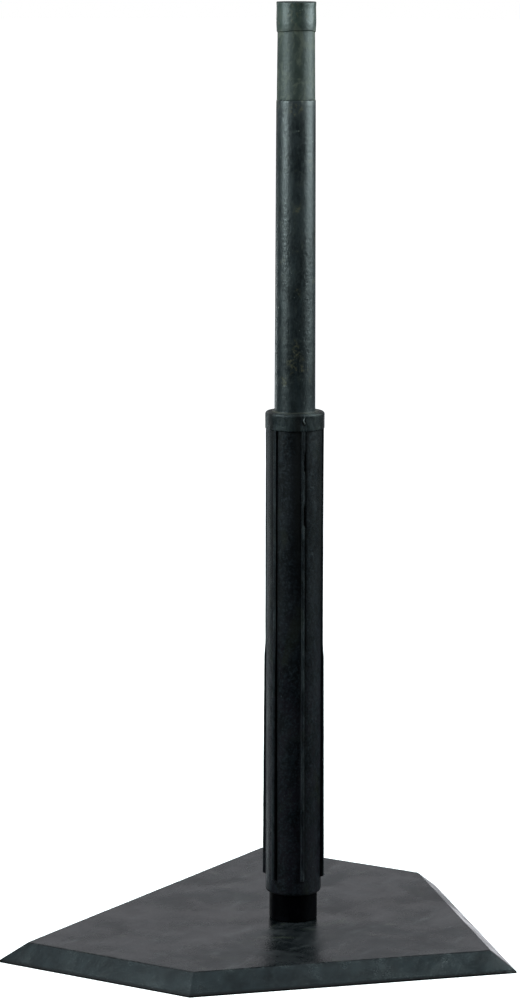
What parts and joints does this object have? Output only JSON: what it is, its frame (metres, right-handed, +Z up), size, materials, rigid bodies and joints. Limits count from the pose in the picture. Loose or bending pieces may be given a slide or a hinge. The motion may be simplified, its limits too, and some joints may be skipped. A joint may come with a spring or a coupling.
{
  "type": "batting tee",
  "caption": "Free-standing batting tee: a five-sided rubber base plate, a ribbed sleeve over a fixed tube, and a sliding, turning tube that ends in a soft ball cup.",
  "frame": {"origin": "on the tube's axis, at the level of the base plate's underside", "axes": "+Z up along the tube towards the ball cup; +X towards the base plate's point, away from its straight front edge; +Y to the left when looking along +X"},
  "size_m": [0.4064, 0.4318, 0.8442],
  "materials": {
    "plate_rubber": "dark grey moulded rubber, slightly glossy, mottled and scuffed",
    "sleeve_rubber": "black moulded rubber, satin",
    "tube_rubber": "black-green rubber, satin, with fine specks",
    "cup_rubber": "black-green soft rubber, satin",
    "ring_rubber": "black rubber, matt",
    "core_plastic": "black, matt",
    "plug_plastic": "black nylon, matt",
    "bush_plastic": "black nylon, matt",
    "zinc_steel": "zinc plated"
  },
  "bodies": {
    "root": {"base_plate": "plate_rubber", "base_bolt": "zinc_steel", "lock_washer": "zinc_steel", "backing_washer": "zinc_steel", "plug_pins": "zinc_steel", "plug_nut": "zinc_steel", "core_tube": "core_plastic", "base_plug": "plug_plastic", "ribbed_sleeve": "sleeve_rubber"},
    "mouth_bush": {"mouth_bush": "bush_plastic"},
    "upper_tube": {"upper_tube": "tube_rubber", "foot_plug": "plug_plastic", "friction_rings": "ring_rubber", "ball_cup": "cup_rubber"}
  },
  "joints": [
    {"name": "mouth_turn", "type": "hinge", "parent": "root", "child": "mouth_bush", "pos_m": [0, 0, 0.4], "axis": [0, 0, 1], "continuous": true},
    {"name": "height_slide", "type": "slide", "parent": "mouth_bush", "child": "upper_tube", "axis": [0, 0, 1], "range_m": [-0.29, 0.07]}
  ]
}
